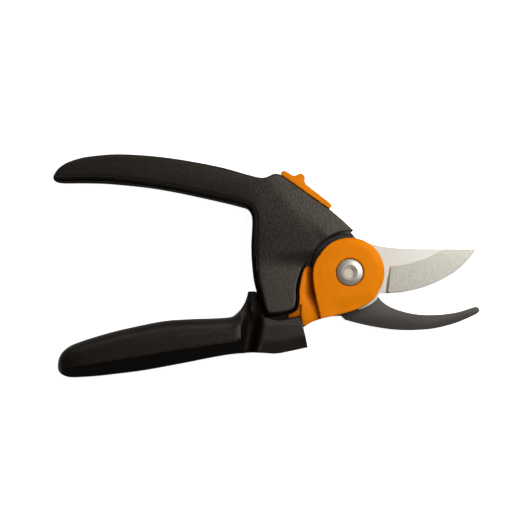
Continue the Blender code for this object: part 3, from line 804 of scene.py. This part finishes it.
# The groove leans: its middle moves to the right by LEAN for each millimetre up from LEAN_FROM.
LEAN, LEAN_FROM = 0.19, -33


def upright(x, y):
    """x as it is where the same leaning line crosses LEAN_FROM."""
    return x - LEAN * (y - LEAN_FROM)


def core_height(x, y, d, place):
    across = upright(x, y)
    rise = np.interp(across, groove_line[:, 0], groove_line[:, 1])
    hilt = np.interp(x, hilt_line[:, 0], hilt_line[:, 1])
    up = ramp(y, -28, -21)
    top = rise * (1 - up) + hilt * up
    free, _ = nearest(free_edge, np.stack((x, y), axis=1))
    from_right = 16.6 - 0.23 * (y + 24.2) - x
    from_bottom = y + 41.8 - 0.2 * np.maximum(x - 5, 0)
    top = top - 1.5 * ramp(6.5 - from_bottom, 0, 6.5) * ramp(across, -3, 0)
    from_top = np.where(x > -2.5, -25.3 - y, 9)
    softness = 0.35 + 0.95 * ramp(np.minimum(from_right, from_top), 0.7, 2)
    return top - rounded(np.where(x < -10, free, d), softness)


block_depths = [0.12, 0.3, 0.55, 0.9, 1.3]
# Lines of points along the groove keep its slopes smooth.
levels = np.arange(-41, -14, 0.5)
lines = [np.stack((a + LEAN * (levels - LEAN_FROM), levels), axis=1) for a in np.arange(-11.5, 1, 0.3)]
lines = [line[inside(core, line)] for line in lines]
lines = [line[nearest(core, line)[0] > 1.5] for line in lines]
block = relief("handle_block", core, MIDDLE, core_height, block_depths, 0.8, lines)
under = relief("handle_block_under", core, MIDDLE, core_height, block_depths, 0.8, lines, -1)
# The tail lies inside the grip. The recess lets the body's end swing, the pocket holds the hook blade's tang,
# and the web carries the hilt over the handle gear.
tail = smooth([(-11, -29.5), (-40, -31), (-70, -35.5), (-86, -41)], 6)
tail += smooth([(-88, -44), (-86, -46.6), (-70, -45.6), (-40, -42), (-11, -38.4)], 6)
recess = [(-15, -4), (-14.2, -11)] + smooth([(-9.8, -15.9), (-6.3, -19.2), (-4.7, -21.1), (-2.9, -22.7)], 4)
recess += arc(PIN, 10.6, 232, 335, 40) + [(24, -19), (24, -4)]
pocket = arc(PIN, 9.8, 60, 200, 24)
pocket += [(-12, -30.8), (-40, -34.4), (-72, -38.7), (-75.5, -40), (-75.5, -43.5), (-72, -44.8)]
pocket += [(-40, -40.8), (-12, -37.4), (12, -33.7), (24, -25.4), (30, -10)]
combine(block, [under], "UNION")
web = arc(PIN, 11.9, 164, 293, 24) + arc(PIN, 7, 293, 164, 24)
combine(block, [prism("tail", tail, 5.5, 16.5), prism("hilt_web", web, COVER_BASE, 16.5)], "UNION")
combine(block, [
    prism("recess_a", recess, 16.5, 24),
    prism("recess_b", recess, -2, 5.5),
    prism("tang_room", inset(pocket, -0.25), 7.6, 11.1),
    disc("gear_space", PIN, 10, 7, COVER_BASE),
    *[disc(f"bore_{i}", place, TANG_EYE, 4, 18, 24) for i, place in enumerate(TANG_PINS)],
], "DIFFERENCE")
polish(block, 34)


def block_shade_choice(centre, normal):
    """Painted shade in the recess under the body and in the groove beside the grip, with a softer border of
    it.
    """
    recess_floor = abs(abs(centre.z - MIDDLE) - 5.45) < 0.12 and abs(normal.z) > 0.9
    beside = upright(centre.x, min(centre.y, -26))
    if recess_floor and -5.3 < centre.x < 3:
        return 3
    if beside < -3.6 or (recess_floor and centre.x > -2.5):
        return 2
    return int(beside < -2.2)


dress_faces(block, (BLOCK, BLOCK_HALF_SHADE, BLOCK_SHADE, NYLON_STEP_SHADE), block_shade_choice)
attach(block, "lower_frame")
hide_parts("lower_handle_core")

# ---------------------------------------------------------------- soft grip
# Sections along X: the upper edge, the lower edge and half the depth at each.
FULL_HALF = 11
sections = smooth([
    (-100, -46.6, -49.6, 1.6), (-99.3, -43.8, -51, 4.4), (-97.5, -41, -52.5, 7.7),
    (-94, -38.3, -53.5, 9.7), (-88.5, -36.1, -53.4, 10.7), (-81, -33.7, -52.9, 10.9),
    (-72, -31.2, -51.9, 11), (-60, -28.5, -50.4, 11), (-48, -26.3, -48.3, 11),
    (-36, -25.5, -46, 11), (-26, -25.2, -44, 11), (-19, -24.8, -42.8, 11), (-16, -24.2, -42.4, 11),
    (-14, -22.7, -42.2, 10.9), (-12.05, -20.7, -42, 10.6),
], 6)
rings = []
for x, upper, lower, half in sections:
    ring = []
    for angle in np.linspace(0, 2 * math.pi, 120, endpoint=False):
        # A slightly squared ellipse, cut off flat in front and behind and by a facet towards its lower edge.
        across, over = math.cos(angle), math.sin(angle)
        across = math.copysign(abs(across) ** 0.8, across)
        over = math.copysign(abs(over) ** 0.8, over)
        y = 0.5 * (upper + lower) + 0.5 * (upper - lower) * across
        facet = 0.985 - 0.95 * max(-0.34 - across, 0)
        over = math.copysign(min(abs(over), facet), over)
        ring.append((x, y, MIDDLE + min(half, FULL_HALF) * over))
    rings.append(ring)
grip = stack("handle_grip", rings)
combine(grip, [prism("tail_room", inset(tail, -0.2), 5.3, 16.7)], "DIFFERENCE")
polish(grip, 50)


def shaded_under_side(centre, normal):
    """The facets below the lower crease, apart from the rim itself, which get painted shade."""
    return int(normal.y < -0.4 and abs(normal.z) > 0.3 and centre.x > -98)


dress_faces(grip, (GRIP, GRIP_UNDER_SHADE), shaded_under_side)
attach(grip, "lower_frame")
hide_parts("lower_grip")


# ---------------------------------------------------------------- stage, in metres
WARM = (1, 0.94, 0.88)


def panel(name, place, target, size, power, colour=WARM):
    light = bpy.data.lights.new(name, "AREA")
    light.shape = "RECTANGLE"
    light.size, light.size_y = size
    light.energy = power
    light.color = colour
    obj = bpy.data.objects.new(name, light)
    obj.location = place
    obj.rotation_euler = (Vector(target) - Vector(place)).to_track_quat("-Z", "Y").to_euler()
    obj.visible_camera = False
    bpy.context.scene.collection.objects.link(obj)


def backdrop(name, corners, faces, look):
    """A pale surface that only the camera sees."""
    mesh = bpy.data.meshes.new(name)
    mesh.from_pydata(corners, [], faces)
    obj = bpy.data.objects.new(name, mesh)
    bpy.context.scene.collection.objects.link(obj)
    dress(obj, look)
    obj.visible_glossy = False
    obj.visible_diffuse = False
    return obj


pale, tree, shader = material("floor_white", (0.8, 0.8, 0.8), 0, 0.9, 0.0)
shader.inputs["Emission Color"].default_value = (1, 1, 1, 1)
shader.inputs["Emission Strength"].default_value = 0.95
square = ((-4, -4), (4, -4), (4, 4), (-4, 4))
backdrop("floor", [(x, y, 0) for x, y in square], [(0, 1, 2, 3)], pale)
walls = [(i, (i + 1) % 4, (i + 1) % 4 + 4, i + 4) for i in range(4)]
room = backdrop("room", [(x, y, z) for z in (-0.01, 5) for x, y in square], [*walls, (4, 5, 6, 7)], pale)
room.visible_shadow = False

world = bpy.data.worlds.new("studio")
world.use_nodes = True
tree = world.node_tree
place = node(tree, "ShaderNodeTexCoord")
split = node(tree, "ShaderNodeSeparateXYZ")
tree.links.new(place.outputs["Generated"], split.inputs["Vector"])
# From below to straight overhead the sky dims, so the faces that look up stay dark.
glow = node(tree, "ShaderNodeValToRGB")
tree.links.new(mapped(tree, split.outputs["Z"], -1, 1, 0, 1), glow.inputs["Fac"])
glow.color_ramp.elements.new(0.2)
glow.color_ramp.elements.new(0.52)
for stop, bright in zip(glow.color_ramp.elements, (0.3, 0.14, 0.1, 0.07)):
    stop.color = (bright, 0.96 * bright, 0.9 * bright, 1)
tree.links.new(glow.outputs["Color"], tree.nodes["Background"].inputs["Color"])
tree.nodes["Background"].inputs["Strength"].default_value = 1
bpy.context.scene.world = world

panel("key", (0.2, 0.09, 0.3), (0.03, 0, 0.015), (0.22, 0.22), 1.08, (1, 0.94, 0.87))
panel("top", (0.1, 0.9, 0.45), (0, 0, 0), (1.2, 0.3), 1.2)
panel("front", (0, -0.9, 0.2), (0, 0, 0), (1.2, 0.25), 0.2)
panel("back", (-0.1, 0.9, 0.2), (0, 0, 0), (1.2, 0.25), 0.5)

# The camera looks straight down, and VIEW_WIDTH fills its picture at SCALE_HEIGHT above the floor.
CAMERA_HEIGHT = 1.5
SCALE_HEIGHT = 0.014
VIEW_WIDTH = 0.25536
view = bpy.data.cameras.new("camera")
view.sensor_width = 36
view.lens = view.sensor_width * (CAMERA_HEIGHT - SCALE_HEIGHT) / VIEW_WIDTH
camera = bpy.data.objects.new("camera", view)
camera.location = (0, 0, CAMERA_HEIGHT)
bpy.context.scene.collection.objects.link(camera)
bpy.context.scene.camera = camera
bpy.context.scene.view_settings.view_transform = "Standard"
